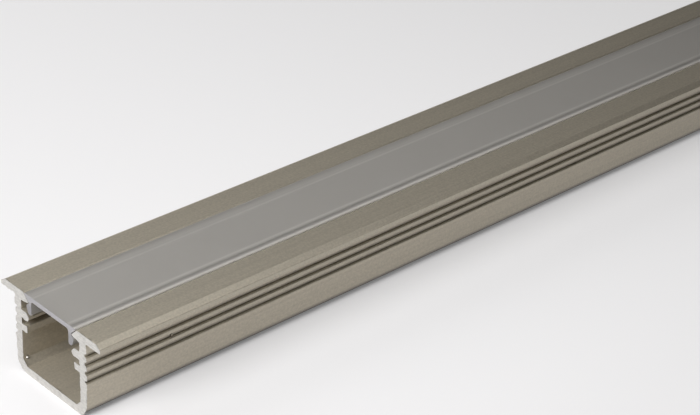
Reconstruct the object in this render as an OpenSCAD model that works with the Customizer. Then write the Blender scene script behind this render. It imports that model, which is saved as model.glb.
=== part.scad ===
// Recessed LED strip profile: an extruded aluminium channel with a T flange on each side, and a
// frosted cover that slides in from an open end and is held between the channel's hooked lips.
// X is across the profile, Y runs along it and Z is up. The origin is the middle of the underside.
// Both pieces are one section each, pushed along Y. A section is a list of corners [x, z, radius].

/* [Channel] */
// Cut length of the profile
length = 200; // [50:10:2000]
// Height from the underside to the flange tops
height = 12; // [9:0.5:30]
// Width of the recessed body, outside its walls
body_w = 14.3; // [11:0.1:40]
// Thickness of the side walls
wall_t = 1.2; // [0.7:0.05:2.4]
// Thickness of the floor
floor_t = 1.12; // [0.6:0.02:3]
// Radius of the outer bottom corners
base_r = 2; // [0.2:0.1:4]
// Size of the slopes between the walls and the floor, inside
cove = 0.8; // [0.2:0.05:2]
// Radius of the small edges and corners of the extrusion
edge_r = 0.1; // [0.02:0.01:0.14]

/* [Flanges] */
// Width over both flanges
flange_w = 20; // [16:0.5:60]
// Thickness of the flanges
flange_t = 1.05; // [0.8:0.05:2]
// Width of the bevel along the outer top edge of each flange
bevel_w = 0.8; // [0.2:0.05:2]
// Height of that bevel
bevel_h = 0.5; // [0.1:0.05:0.7]

/* [Lips and ribs] */
// How far each lip reaches in from its wall
lip_reach = 1.5; // [1.1:0.05:2.5]
// Thickness of the lip at its wall
lip_t = 1.4; // [1.1:0.05:2]
// Width and height of the sloped face on which the cover's edge lies
lip_slope = 1; // [0.5:0.05:1.2]
// Height of the upright nose of the lip
nose_h = 0.2; // [0.15:0.01:0.4]
// Height of the hook groove under the lip
hook_h = 1.4; // [1:0.05:2]
// How far the rib under the hook groove reaches in from its wall
rib_reach = 1.5; // [0.8:0.05:2.5]
// Thickness of the rib
rib_t = 1.15; // [0.95:0.05:1.6]
// Size of the slope on top of the rib, which guides the cover's leg
rib_top_slope = 0.5; // [0.1:0.05:0.7]
// Size of the slope under the rib
rib_low_slope = 0.35; // [0.1:0.05:0.5]
// Height of the narrow slot between the rib and the ledge
slot_h = 0.85; // [0.4:0.05:1.4]
// How far the ledge under the slot reaches in from its wall
ledge_reach = 1.1; // [0.5:0.05:2]
// Thickness of the ledge
ledge_t = 1; // [0.5:0.05:2]

/* [Side grooves] */
// Number of grooves along each outer side
groove_count = 4; // [1:1:5]
// Distance from one groove to the next
groove_pitch = 1.25; // [1.05:0.05:1.6]
// Distance from the underside of the flange to the middle of the first groove
groove_drop = 1.7; // [0.8:0.05:2.5]
// Width of a groove
groove_w = 0.42; // [0.25:0.01:0.6]
// Depth of a groove
groove_d = 0.35; // [0.2:0.01:0.45]
// Radius of the corners at the bottom of a groove
groove_r = 0.08; // [0.02:0.01:0.12]
// How far the grooved band stands out of the wall
band_proud = 0.12; // [0.02:0.01:0.3]
// Height of the band above the first groove and below the last
band_margin = 0.8; // [0.4:0.05:0.9]
// Height over which the band's edges slope back to the wall
band_slope = 0.4; // [0.2:0.05:0.5]
// Radius that blends those slopes
band_r = 0.4; // [0.1:0.1:1]

/* [Cover] */
// Thickness of the cover's plate
cover_t = 0.62; // [0.4:0.02:0.9]
// Thickness of the cover's legs at their neck
leg_t = 0.55; // [0.4:0.05:0.9]
// How far the barb stands out of the leg
barb_reach = 0.45; // [0.2:0.05:0.9]
// Height of the upright face of the barb
barb_h = 0.3; // [0.2:0.05:0.5]
// How far the leg's tip is drawn in from the barb
tip_taper = 0.35; // [0.1:0.05:0.45]
// Radius of the leg's tip
tip_r = 0.2; // [0.05:0.01:0.24]
// Radius of the fillet between the plate and each leg
root_r = 0.35; // [0.1:0.05:0.6]
// Radius of the cover's other edges
cover_r = 0.08; // [0.02:0.01:0.12]
// Running clearance between the cover and the channel
cover_gap = 0.1; // [0.05:0.01:0.2]

/* [Hidden] */

// Colours
anodised = [0.62, 0.59, 0.54];
frosted = [0.66, 0.66, 0.65];

// Fineness of a rounded corner: at least this many flats, and more on a larger radius
flats_least = 4;
flats_per_mm = 6;

// Channel, across
outer_x = body_w / 2;
band_x = outer_x + band_proud;
inner_x = outer_x - wall_t;
flange_x = flange_w / 2;
lip_x = inner_x - lip_reach;
rib_x = inner_x - rib_reach;
ledge_x = inner_x - ledge_reach;

// Channel, from the flange tops down
flange_z = height - flange_t;
nose_z = height - lip_slope;
lip_z = height - lip_t;
rib_z = lip_z - hook_h;
slot_z = rib_z - rib_t;
ledge_z = slot_z - slot_h;
wall_z = ledge_z - ledge_t;
groove_z = flange_z - groove_drop;
last_groove_z = groove_z - (groove_count - 1) * groove_pitch;
band_top_z = groove_z + groove_w / 2 + band_margin;
band_low_z = last_groove_z - groove_w / 2 - band_margin;
groove_edge_r = groove_d - groove_r;
// The corner under a flange is wide enough that the flange's seat starts clear of the band
seat_corner_r = band_proud + edge_r;

// Cover: its sloped edge lies along the lip's slope, one clearance away from it
edge_x = lip_x + lip_slope - cover_gap * sqrt(2);
leg_x = lip_x - cover_gap;
neck_z = height - (edge_x - leg_x);
leg_inner_x = leg_x - leg_t;
shoulder_z = nose_z - nose_h - cover_gap;
barb_x = leg_x + barb_reach;
barb_z = lip_z - cover_gap;
tip_z = rib_z + cover_gap;

function unit(v) = v / norm(v);
function point(c) = [c.x, c.y];
function flats(r) = max(flats_least, ceil(flats_per_mm * r));
function short_turn(a) = a > 180 ? a - 360 : a < -180 ? a + 360 : a;

// The arc that rounds the corner at b, between its neighbours a and c
function rounded_corner(a, b, c, r) =
    let (u = unit(a - b), v = unit(c - b), half = acos(u * v) / 2)
    let (centre = b + unit(u + v) * r / sin(half), reach = r / tan(half))
    let (from = b + u * reach - centre, to = b + v * reach - centre)
    let (start = atan2(from.y, from.x), turn = short_turn(atan2(to.y, to.x) - start))
    [for (i = [0 : flats(r)]) let (a = start + turn * i / flats(r)) centre + r * [cos(a), sin(a)]];

// An outline from corners [x, z, radius]
function rounded(corners) =
    let (n = len(corners))
    [for (i = [0 : n - 1], p = rounded_corner(point(corners[(i + n - 1) % n]), point(corners[i]),
        point(corners[(i + 1) % n]), corners[i].z)) p];

// The right half, followed by its mirror image in reverse order
function both_sides(half) =
    concat(half, [for (i = [len(half) - 1 : -1 : 0]) [-half[i].x, half[i].y, half[i].z]]);

// The four corners of one groove in the outer side, from its lower edge to its upper edge
function groove(z) = [
    [band_x, z - groove_w / 2, groove_edge_r],
    [band_x - groove_d, z - groove_w / 2, groove_r],
    [band_x - groove_d, z + groove_w / 2, groove_r],
    [band_x, z + groove_w / 2, groove_edge_r]
];

side = [
    [outer_x, 0, base_r],
    [outer_x, band_low_z - band_slope, band_r],
    [band_x, band_low_z, band_r],
    for (i = [groove_count - 1 : -1 : 0]) each groove(groove_z - i * groove_pitch),
    [band_x, band_top_z, band_r],
    [outer_x, band_top_z + band_slope, band_r]
];

flange = [
    [outer_x, flange_z, seat_corner_r],
    [flange_x, flange_z, edge_r],
    [flange_x, height - bevel_h, edge_r],
    [flange_x - bevel_w, height, edge_r]
];

lip = [
    [lip_x + lip_slope, height, edge_r],
    [lip_x, nose_z, edge_r],
    [lip_x, nose_z - nose_h, edge_r],
    [inner_x, lip_z, edge_r]
];

rib = [
    [inner_x, rib_z, edge_r],
    [rib_x + rib_top_slope, rib_z, edge_r],
    [rib_x, rib_z - rib_top_slope, edge_r],
    [rib_x, slot_z + rib_low_slope, edge_r],
    [rib_x + rib_low_slope, slot_z, edge_r],
    [inner_x, slot_z, edge_r]
];

ledge = [
    [inner_x, ledge_z, edge_r],
    [ledge_x, ledge_z, edge_r],
    [ledge_x, wall_z, edge_r],
    [inner_x, wall_z, edge_r]
];

inside_corner = [
    [inner_x, floor_t + cove, edge_r],
    [inner_x - cove, floor_t, edge_r]
];

channel_half = concat(side, flange, lip, rib, ledge, inside_corner);

cover_half = [
    [leg_inner_x, height - cover_t, root_r],
    [leg_inner_x, tip_z, tip_r],
    [barb_x - tip_taper, tip_z, tip_r],
    [barb_x, barb_z - barb_h, cover_r],
    [barb_x, barb_z, cover_r],
    [leg_x, shoulder_z, cover_r],
    [leg_x, neck_z, cover_r],
    [edge_x, height, cover_r]
];

module pushed_along_y(half) {
    rotate([90, 0, 0]) linear_extrude(length, center = true) polygon(rounded(both_sides(half)));
}

// The extrusion: floor, walls, flanges, hooked lips, ribs and grooves in one piece
module channel() {
    color(anodised) pushed_along_y(channel_half);
}

// The frosted cover: a plate with sloped edges and two barbed legs, in one piece
module diffuser() {
    color(frosted) pushed_along_y(cover_half);
}

channel();
diffuser();
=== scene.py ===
import math

import bmesh
import bpy
import numpy as np
from mathutils import Matrix, Vector, geometry, noise


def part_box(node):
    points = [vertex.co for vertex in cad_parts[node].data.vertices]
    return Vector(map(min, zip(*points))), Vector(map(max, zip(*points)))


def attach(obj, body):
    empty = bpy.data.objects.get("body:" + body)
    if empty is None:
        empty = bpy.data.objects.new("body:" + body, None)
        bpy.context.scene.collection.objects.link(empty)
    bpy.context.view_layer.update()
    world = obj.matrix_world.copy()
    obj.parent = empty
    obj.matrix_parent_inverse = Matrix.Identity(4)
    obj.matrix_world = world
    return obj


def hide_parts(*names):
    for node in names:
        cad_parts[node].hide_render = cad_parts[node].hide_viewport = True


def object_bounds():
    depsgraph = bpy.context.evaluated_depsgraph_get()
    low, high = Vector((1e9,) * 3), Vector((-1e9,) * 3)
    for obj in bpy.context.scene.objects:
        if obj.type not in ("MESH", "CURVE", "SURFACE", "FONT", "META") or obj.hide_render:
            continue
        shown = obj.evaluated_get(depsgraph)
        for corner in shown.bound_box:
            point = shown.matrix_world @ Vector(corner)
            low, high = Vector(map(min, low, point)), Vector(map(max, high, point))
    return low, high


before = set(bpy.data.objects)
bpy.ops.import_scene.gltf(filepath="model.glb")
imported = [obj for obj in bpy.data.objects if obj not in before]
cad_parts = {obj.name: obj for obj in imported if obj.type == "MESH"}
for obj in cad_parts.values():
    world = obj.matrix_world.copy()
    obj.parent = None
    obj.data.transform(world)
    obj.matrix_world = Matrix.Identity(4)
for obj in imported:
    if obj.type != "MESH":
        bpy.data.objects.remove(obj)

# Recessed LED strip profile. The two sections are read from the frame, and each piece is built
# again from its section with sawn ends. Lengths are in metres; MM turns millimetres into them.
MM = 0.001
cad_low, cad_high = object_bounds()
NEAR_END = cad_low.y
TOP = cad_high.z

# Camera: pose in degrees about the near end's lowest middle point, from the photograph's edges
CAMERA_AZIMUTH = 45.76
CAMERA_ELEVATION = 30.17
CAMERA_ROLL = 2.94
CAMERA_PLACE = Vector((172.70, -118.79, 148.56)) * MM
CAMERA_LENS = 106.05
SENSOR_WIDTH = 36.0
NEAREST_SEEN = 0.01

# Sawn ends: spacing of the points around the outline, and rings behind the cut
POINT_STEP = 0.1 * MM
RING_DEPTHS = [0.0, 0.06 * MM, 0.12 * MM, 0.2 * MM, 0.4 * MM, 1.2 * MM]
# The burr fades out over this depth, and its edge also stands out along the length
BURR_DEPTH = 0.3 * MM
BURR_FORWARD = 0.4
# Pitch of the cut edge's waves, of the saw's teeth and of the patches where the teeth are larger
FINE_WAVE = 0.3 * MM
LONG_WAVE = 0.9 * MM
TOOTH_PITCH = 0.24 * MM
PATCH_PITCH = 1.8 * MM
# Each end has its own start in the noise
NEAR_SEED = 3.1
FAR_SEED = 57.3
# The cover runs clear of the channel, so the channel's burr is small beside it
COVER_SIDE = 5.7 * MM
COVER_LOW = 8.8 * MM
BURR_BY_COVER = 0.35
SMOOTH_ANGLE = math.radians(32)
# A corner this near to the end belongs to the end face
END_FACE_WITHIN = 0.001 * MM
# Points nearer than this, in millimetres, are one point when an end face is filled
SAME_POINT_WITHIN = 1e-6
# Grains of swarf: how deeply the ball is torn, and how finely
TORN_DEPTH = 0.5
TORN_FINENESS = 1.3


# Outlines

def end_outline(node):
    """The section of a node in order, as an array of (x, z), read from the face at its near end."""
    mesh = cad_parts[node].data
    mesh.calc_loop_triangles()
    places = [(round(v.co.x, 7), round(v.co.z, 7)) for v in mesh.vertices]
    following = {}
    for triangle in mesh.loop_triangles:
        if max(abs(mesh.vertices[i].co.y - NEAR_END) for i in triangle.vertices) > END_FACE_WITHIN:
            continue
        corners = [places[i] for i in triangle.vertices]
        for a, b in zip(corners, corners[1:] + corners[:1]):
            if a in following.get(b, ()):
                following[b].remove(a)
            else:
                following.setdefault(a, []).append(b)
    start = next(a for a in following if following[a])
    outline = [start]
    while following[outline[-1]][0] != start:
        outline.append(following[outline[-1]][0])
    return np.array(outline)


def with_more_points(outline, step):
    """The outline with every edge cut into pieces no longer than step."""
    points = []
    for a, b in zip(outline, np.roll(outline, -1, axis=0)):
        count = max(1, math.ceil(np.linalg.norm(b - a) / step))
        points += [a + (b - a) * i / count for i in range(count)]
    return np.array(points)


def outward_normals(points):
    """Unit normals of a closed outline, pointing out of the material."""
    along = np.roll(points, -1, axis=0) - np.roll(points, 1, axis=0)
    normals = np.stack([along[:, 1], -along[:, 0]], axis=1)
    normals /= np.linalg.norm(normals, axis=1)[:, None]
    x, z = points[:, 0], points[:, 1]
    turns_left = np.sum(x * np.roll(z, -1) - np.roll(x, -1) * z) > 0
    return normals if turns_left else -normals


def distance_along(points):
    steps = np.linalg.norm(np.roll(points, -1, axis=0) - points, axis=1)
    return np.concatenate([[0], np.cumsum(steps)[:-1]])


def wavering(distance, pitch, seed):
    """Smooth noise from -1 to 1 along an outline."""
    raw = np.array([noise.noise(Vector((d / pitch, seed, 0.37))) for d in distance])
    return np.clip(2 * raw, -1, 1)


def saw_burr(points, normals, seed, wobble, tooth, tooth_below):
    """How far the cut edge stands out: a wobble all round, and teeth where the blade left the metal."""
    distance = distance_along(points)
    by_cover = (np.abs(points[:, 0]) < COVER_SIDE) & (points[:, 1] > COVER_LOW)
    lift = 0.55 * wavering(distance, FINE_WAVE, seed) + 0.45 * wavering(distance, LONG_WAVE, seed + 10)
    lift *= wobble * np.where(by_cover, BURR_BY_COVER, 1.0)
    leaving = np.clip(normals[:, 0], 0, 1) * (points[:, 1] < tooth_below)
    teeth = np.clip(wavering(distance, TOOTH_PITCH, seed + 20), 0, 1)
    patches = 0.6 + 0.4 * wavering(distance, PATCH_PITCH, seed + 40)
    return lift + tooth * leaving * teeth * patches


# Pieces

def cap_triangles(loop):
    """Triangles that fill a closed loop of vertices in an end face, as indices into the loop."""
    flat = [Vector((v.co.x, v.co.z)) / MM for v in loop]
    edges = [(i, (i + 1) % len(flat)) for i in range(len(flat))]
    inside_only = 1
    found = geometry.delaunay_2d_cdt(flat, edges, [], inside_only, SAME_POINT_WITHIN)
    origin = [sources[0] for sources in found[3]]
    return [[origin[i] for i in face] for face in found[2]]


def burred_rings(node, wobble, tooth, tooth_below):
    """The node's outline at each ring depth, from the near end to the far end, with its places in Y."""
    points = with_more_points(end_outline(node), POINT_STEP)
    normals = outward_normals(points)
    near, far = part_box(node)[0].y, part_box(node)[1].y
    rings = []
    for end, inward, seed in ((near, 1, NEAR_SEED), (far, -1, FAR_SEED)):
        burr = saw_burr(points, normals, seed, wobble, tooth, tooth_below)
        ends = []
        for depth in RING_DEPTHS:
            fade = max(0.0, 1 - depth / BURR_DEPTH) ** 2
            ring = points + normals * (burr * fade)[:, None]
            ring[:, 1] = np.maximum(ring[:, 1], 0.0)
            forward = BURR_FORWARD * fade * np.clip(burr, 0, None) * (depth == 0)
            ends.append((ring, end + inward * (depth - forward)))
        rings += ends if inward > 0 else ends[::-1]
    return rings


def skin_over(rings):
    """A closed mesh over the rings; the faces at and beside each cut take the second material."""
    bm = bmesh.new()
    loops = []
    for ring, places in rings:
        loops.append([bm.verts.new((x, y, z)) for (x, z), y in zip(ring, places)])
    count = len(loops[0])
    last = len(loops) - 2
    for k, (a, b) in enumerate(zip(loops, loops[1:])):
        for i in range(count):
            j = (i + 1) % count
            face = bm.faces.new((a[i], a[j], b[j], b[i]))
            face.material_index = 1 if k in (0, last) else 0
    for loop in (loops[0], loops[-1]):
        for a, b, c in cap_triangles(loop):
            bm.faces.new((loop[a], loop[b], loop[c])).material_index = 1
    bmesh.ops.recalc_face_normals(bm, faces=bm.faces)
    return bm


def placed(name, bm, materials=()):
    """An object in the scene, made of a finished bmesh."""
    mesh = bpy.data.meshes.new(name)
    bm.to_mesh(mesh)
    bm.free()
    for material in materials:
        mesh.materials.append(material)
    made = bpy.data.objects.new(name, mesh)
    bpy.context.scene.collection.objects.link(made)
    return made


def sawn_piece(name, node, materials, wobble, tooth, tooth_below):
    """A piece of the node's section over its whole length, with burred edges at both cuts."""
    piece = placed(name, skin_over(burred_rings(node, wobble, tooth, tooth_below)), materials)
    piece.data.shade_smooth()
    piece.data.set_sharp_from_angle(angle=SMOOTH_ANGLE)
    return piece


def swarf(name, place, size, seed, material):
    """A small torn grain of metal that sits where the saw left it."""
    bm = bmesh.new()
    bmesh.ops.create_icosphere(bm, subdivisions=2, radius=1.0)
    for v in bm.verts:
        v.co *= 1 + TORN_DEPTH * noise.noise(v.co * TORN_FINENESS + Vector((seed, 0, 0)))
    bmesh.ops.transform(bm, matrix=Matrix.Translation(place) @ Matrix.Diagonal((*size, 1)), verts=bm.verts)
    piece = placed(name, bm, [material])
    piece.data.shade_smooth()
    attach(piece, "profile")


# Materials

class Shader:
    """A material with one Principled shader, and short ways to add nodes to it."""

    def __init__(self, name):
        self.material = bpy.data.materials.new(name)
        self.material.use_nodes = True
        self.nodes = self.material.node_tree.nodes
        self.links = self.material.node_tree.links
        self.bsdf = self.nodes["Principled BSDF"]

    def set(self, **values):
        for name, value in values.items():
            self.bsdf.inputs[name.replace("_", " ")].default_value = value

    def node(self, kind, inputs=None, **settings):
        made = self.nodes.new(kind)
        for name, value in settings.items():
            setattr(made, name, value)
        for name, value in (inputs or {}).items():
            if isinstance(value, bpy.types.NodeSocket):
                self.links.new(value, made.inputs[name])
            else:
                made.inputs[name].default_value = value
        return made

    def place(self):
        """The place on the surface, in the object's own space."""
        return self.node("ShaderNodeTexCoord").outputs["Object"]

    def section(self):
        """Distance from the middle plane, and height."""
        parts = self.node("ShaderNodeSeparateXYZ", {"Vector": self.place()}).outputs
        return self.math("ABSOLUTE", parts["X"], 0.0), parts["Z"]

    def open_share(self, reach):
        """How much of the space within reach of the surface is open, from 0 to 1."""
        return self.node("ShaderNodeAmbientOcclusion", {"Distance": reach}, samples=8).outputs["AO"]

    def noise(self, cells_per_m, detail=2.0, rough=0.5, shift=(0, 0, 0)):
        """Noise in the object's own space, with its own number of cells per metre along each axis."""
        mapped = self.node("ShaderNodeMapping", {
            "Vector": self.place(), "Scale": cells_per_m, "Location": shift})
        made = self.node("ShaderNodeTexNoise", {
            "Vector": mapped.outputs["Vector"], "Scale": 1.0, "Detail": detail, "Roughness": rough})
        return made.outputs["Fac"]

    def ranged(self, value, low, high, from_low=0.3, from_high=0.7):
        made = self.node("ShaderNodeMapRange", {
            "Value": value, "From Min": from_low, "From Max": from_high, "To Min": low, "To Max": high})
        return made.outputs["Result"]

    def math(self, operation, a, b):
        return self.node("ShaderNodeMath", {0: a, 1: b}, operation=operation).outputs[0]

    def shade(self, colour, factor):
        """The colour, made lighter or darker by a factor socket."""
        made = self.node("ShaderNodeVectorMath", {0: colour, "Scale": factor}, operation="SCALE")
        return made.outputs["Vector"]

    def line(self, value, middle, half_width, strength):
        """1, and 1 + strength along a soft line where the value is near the middle."""
        apart = self.math("ABSOLUTE", self.math("SUBTRACT", value, middle), 0.0)
        return self.ranged(apart, 1 + strength, 1.0, 0.0, half_width)

    def mix_in(self, other, share):
        """Mixes a share of another shader into this one."""
        mixed = self.node("ShaderNodeMixShader", {"Fac": share})
        self.links.new(self.bsdf.outputs["BSDF"], mixed.inputs[1])
        self.links.new(other, mixed.inputs[2])
        self.links.new(mixed.outputs["Shader"], self.nodes["Material Output"].inputs["Surface"])

    def let_lamps_through(self, share):
        """Lets a share of the lamps' light pass on, as a thin frosted wall does."""
        shadow = self.node("ShaderNodeLightPath").outputs["Is Shadow Ray"]
        clear = self.node("ShaderNodeBsdfTransparent").outputs["BSDF"]
        self.mix_in(clear, self.math("MULTIPLY", shadow, share))

    def link(self, socket, name):
        self.links.new(socket, self.bsdf.inputs[name])

    def bump(self, height, depth, strength=1.0):
        made = self.node("ShaderNodeBump", {"Height": height, "Distance": depth, "Strength": strength})
        self.link(made.outputs["Normal"], "Normal")


ANODISED = (0.517, 0.47, 0.385)
RAW_METAL = (0.705, 0.69, 0.655)
FROSTED = (0.44, 0.426, 0.405)
SAWN_PLASTIC = (0.425, 0.415, 0.43)

# Painted shade: grooves and hollows are darkened where little of the space within reach is open. Each OPEN
# pair is the open share at which the tone is darkest, and the share at which it is full.
RECESS_SHADE_REACH = 0.8 * MM
RECESS_SHADE_TONE = 0.35
RECESS_SHADE_OPEN = (0.35, 0.75)
# Above these heights no recess shade is painted
LIPS_LOW = TOP - 1.4 * MM
LIPS_HIGH = TOP - 1.0 * MM
# Painted contact shadow: the rounded outer corners are darkened where they near the floor
CORNER_SHADE_REACH = 2.5 * MM
CORNER_SHADE_TONE = 0.06
CORNER_SHADE_OPEN = (0.3, 0.8)
CORNER_SHADE_SIDE = 6.0 * MM
CORNER_SHADE_TOP = 1.6 * MM

COVER_LIGHT_AND_SHADE_LINES = [
    # Painted light and shade along the cover, lighter where the legs show through and at the right edge's
    # highlight, darker along the shaded gaps: place across it, half width, how much lighter or darker
    (3.6 * MM, 0.3 * MM, 0.25),
    (4.25 * MM, 0.35 * MM, -0.3),
    (4.9 * MM, 0.35 * MM, 0.7),
    (-3.5 * MM, 0.3 * MM, 0.3),
    (-4.0 * MM, 0.5 * MM, 0.12),
    (-4.9 * MM, 0.4 * MM, -0.15),
]
# Share of the lamps' light that passes the cover
COVER_PASSES = 0.85
# Painted shade: the cut ends of the cover's legs are darker than the cut end of its plate, as they lie in
# the shade of the lips
LEG_SHADE_TONE = 0.75
LEG_TOP = TOP - 1.6 * MM
PLATE_LOW = TOP - 0.9 * MM


def anodised_aluminium():
    s = Shader("anodised_aluminium")
    s.set(Metallic=0.6, Roughness=0.45)
    grain = s.noise((3600, 3000, 3600), detail=3)
    lines = s.noise((5200, 9, 5200), detail=3, rough=0.65)
    bands = s.noise((700, 4, 700), detail=2, shift=(3.1, 0.4, 7.7))
    tone = s.math("MULTIPLY", s.ranged(grain, 0.9, 1.1), s.ranged(lines, 0.95, 1.05))
    tone = s.math("MULTIPLY", tone, s.ranged(bands, 0.96, 1.04))
    across, height = s.section()
    # Painted shade: the colour is darkened in grooves and hollows, where shade falls
    recess_shade = s.ranged(s.open_share(RECESS_SHADE_REACH), RECESS_SHADE_TONE, 1.0, *RECESS_SHADE_OPEN)
    recess_shade = s.math("MAXIMUM", recess_shade, s.ranged(height, 0.0, 1.0, LIPS_LOW, LIPS_HIGH))
    # Painted contact shadow on the rounded outer corners, low down and near the floor
    corner = s.ranged(s.open_share(CORNER_SHADE_REACH), CORNER_SHADE_TONE, 1.0, *CORNER_SHADE_OPEN)
    corner = s.math("MAXIMUM", corner, s.math("LESS_THAN", across, CORNER_SHADE_SIDE))
    corner = s.math("MAXIMUM", corner, s.math("GREATER_THAN", height, CORNER_SHADE_TOP))
    tone = s.math("MULTIPLY", tone, s.math("MULTIPLY", recess_shade, corner))
    s.link(s.shade(ANODISED, tone), "Base Color")
    s.link(s.ranged(grain, 0.41, 0.50), "Roughness")
    s.bump(s.math("ADD", grain, lines), 0.006 * MM, 0.5)
    return s.material


def raw_aluminium():
    s = Shader("sawn_aluminium")
    s.set(Metallic=1.0, Roughness=0.42)
    mottle = s.noise((1500, 1500, 2600), detail=5, rough=0.7)
    marks = s.noise((900, 300, 7000), detail=3, rough=0.6, shift=(1.3, 0, 4.2))
    tone = s.math("MULTIPLY", s.ranged(mottle, 0.84, 1.1), s.ranged(marks, 0.88, 1.08))
    s.link(s.shade(RAW_METAL, tone), "Base Color")
    s.link(s.ranged(mottle, 0.5, 0.36), "Roughness")
    s.bump(s.math("ADD", mottle, marks), 0.02 * MM, 0.6)
    return s.material


def frosted_plastic():
    s = Shader("frosted_plastic")
    s.set(Roughness=0.3, IOR=1.49, Transmission_Weight=0.4)
    s.set(Subsurface_Weight=0.8, Subsurface_Radius=(1, 1, 1), Subsurface_Scale=0.7 * MM)
    x = s.node("ShaderNodeSeparateXYZ", {"Vector": s.place()}).outputs["X"]
    tone = 1.0
    # Painted light and shade: the lines lighten the cover where the legs show through and at its right
    # edge, and darken it along the gaps
    for middle, half_width, strength in COVER_LIGHT_AND_SHADE_LINES:
        tone = s.math("MULTIPLY", tone, s.line(x, middle, half_width, strength))
    s.link(s.shade(FROSTED, tone), "Base Color")
    grain = s.noise((4200, 3000, 4200), detail=2)
    lines = s.noise((2600, 6, 2600), detail=2)
    s.bump(s.math("ADD", grain, lines), 0.003 * MM, 0.4)
    s.let_lamps_through(COVER_PASSES)
    return s.material


def sawn_plastic():
    s = Shader("sawn_plastic")
    s.set(Roughness=0.6, IOR=1.46, Transmission_Weight=0.3)
    height = s.section()[1]
    # Painted shade on the legs' cut ends, fading out up to the plate
    tone = s.ranged(height, LEG_SHADE_TONE, 1.0, LEG_TOP, PLATE_LOW)
    s.link(s.shade(SAWN_PLASTIC, tone), "Base Color")
    s.bump(s.noise((5000, 2000, 5000), detail=4, rough=0.7), 0.012 * MM, 0.6)
    return s.material


# Surroundings

FLOOR_SIZE = 4.0
# The paper's even glow, and how far it sinks within reach of the line where the profile stands, as a
# painted contact shadow over the floor's own lit shadow
PAPER_GLOW = 0.45
CONTACT_SHADE_GLOW = 0.16
CONTACT_SHADE_REACH = 1.0 * MM
CONTACT_SHADE_OPEN = (0.3, 0.8)
SKY_COLOUR = (1.0, 0.93, 0.76, 1)
SKY_RADIANCE = 0.03
SOFTBOXES = {
    # place from the near end in metres, side in metres, power in watts
    "front": ((0.02, -0.20, 0.20), 0.15, 0.79),
    "right": ((0.18, -0.08, 0.24), 0.18, 0.11),
    "left_front": ((-0.22, -0.12, 0.22), 0.20, 0.28),
    "left": ((-0.26, 0.05, 0.22), 0.20, 0.10),
    "above": ((0.03, 0.06, 0.14), 0.08, 0.033),
}


def sky():
    """Faint warm light, the same from all round."""
    world = bpy.data.worlds.new("sky")
    world.use_nodes = True
    background = world.node_tree.nodes["Background"].inputs
    background["Color"].default_value = SKY_COLOUR
    background["Strength"].default_value = SKY_RADIANCE
    bpy.context.scene.world = world


def softboxes():
    """Square lamps that face the near end."""
    target = Vector((0, NEAR_END, TOP))
    for name, (place, side, watts) in SOFTBOXES.items():
        data = bpy.data.lights.new(name, "AREA")
        data.shape = "SQUARE"
        data.size = side
        data.energy = watts
        made = bpy.data.objects.new(name, data)
        made.location = Vector(place) + Vector((0, NEAR_END, 0))
        made.rotation_euler = (target - made.location).to_track_quat("-Z", "Y").to_euler()
        bpy.context.scene.collection.objects.link(made)


def pale_paper():
    """White paper, with a part of its brightness even all over for the camera and reflections, and less of
    it beside the profile as painted contact shadow.
    """
    s = Shader("pale_paper")
    s.set(Base_Color=(0.88, 0.87, 0.88, 1), Roughness=0.7, Specular_IOR_Level=0.2)
    path = s.node("ShaderNodeLightPath").outputs
    seen = s.math("MAXIMUM", path["Is Camera Ray"], path["Is Glossy Ray"])
    seen = s.math("MAXIMUM", seen, path["Is Transmission Ray"])
    glow = s.node("ShaderNodeEmission", {"Color": (1, 0.995, 1, 1), "Strength": 1.0}).outputs["Emission"]
    # Painted contact shadow: the glow sinks where the profile stands close, and the lit floor's own shadow
    # shows there
    glow_share_with_contact_shade = s.ranged(s.open_share(CONTACT_SHADE_REACH), CONTACT_SHADE_GLOW, PAPER_GLOW, *CONTACT_SHADE_OPEN)
    s.mix_in(glow, s.math("MULTIPLY", seen, glow_share_with_contact_shade))
    return s.material


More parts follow.
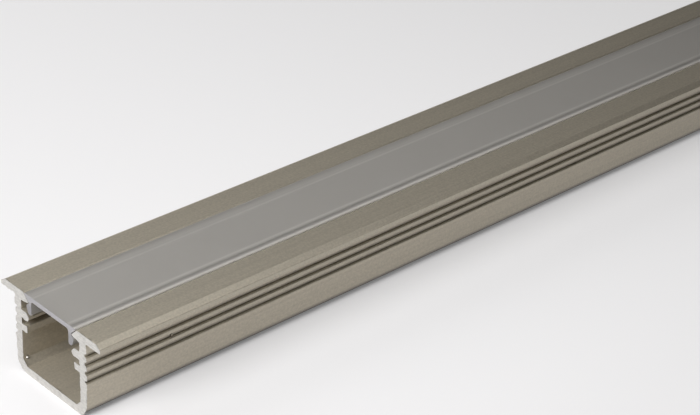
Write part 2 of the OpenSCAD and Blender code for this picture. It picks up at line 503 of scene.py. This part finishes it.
def floor():
    bm = bmesh.new()
    bmesh.ops.create_grid(bm, x_segments=1, y_segments=1, size=FLOOR_SIZE / 2)
    made = placed("floor", bm, [pale_paper()])


def camera():
    azimuth, elevation, roll = (math.radians(a) for a in (CAMERA_AZIMUTH, CAMERA_ELEVATION, CAMERA_ROLL))
    forward = Vector((-math.sin(azimuth) * math.cos(elevation), math.cos(azimuth) * math.cos(elevation),
                      -math.sin(elevation)))
    level_right = Vector((math.cos(azimuth), math.sin(azimuth), 0))
    level_up = level_right.cross(forward)
    right = math.cos(roll) * level_right + math.sin(roll) * level_up
    up = math.cos(roll) * level_up - math.sin(roll) * level_right
    data = bpy.data.cameras.new("camera")
    data.lens = CAMERA_LENS
    data.sensor_width = SENSOR_WIDTH
    data.clip_start = NEAREST_SEEN
    made = bpy.data.objects.new("camera", data)
    turn = Matrix((right, up, -forward)).transposed().to_4x4()
    made.matrix_world = Matrix.Translation(CAMERA_PLACE + Vector((0, NEAR_END, 0))) @ turn
    bpy.context.scene.collection.objects.link(made)
    bpy.context.scene.camera = made


camera()
floor()
sky()
softboxes()

satin, bare = anodised_aluminium(), raw_aluminium()
channel = sawn_piece("channel_profile", "channel", [satin, bare],
                     wobble=0.08 * MM, tooth=0.26 * MM, tooth_below=8.6 * MM)
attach(channel, "profile")
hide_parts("channel")

cover = sawn_piece("cover_diffuser", "diffuser", [frosted_plastic(), sawn_plastic()],
                   wobble=0.03 * MM, tooth=0.0, tooth_below=0.0)
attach(cover, "cover")
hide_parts("diffuser")

# A grain of swarf on the slope inside, and a speck that bridges the second groove
GRAINS = {
    # middle in mm, with Y from the near end, half sizes in mm, seed of the torn shape, material
    "swarf_inside": ((-5.88, 0.6, 1.95), (0.22, 0.24, 0.16), 2.7, bare),
    "swarf_in_groove": ((7.0, 13.1, 6.75), (0.16, 0.13, 0.26), 8.1, satin),
}
for name, ((x, y, z), half_sizes, seed, material) in GRAINS.items():
    place = Vector((x * MM, NEAR_END + y * MM, z * MM))
    swarf(name, place, [half * MM for half in half_sizes], seed, material)

bpy.context.scene.view_settings.view_transform = "Standard"
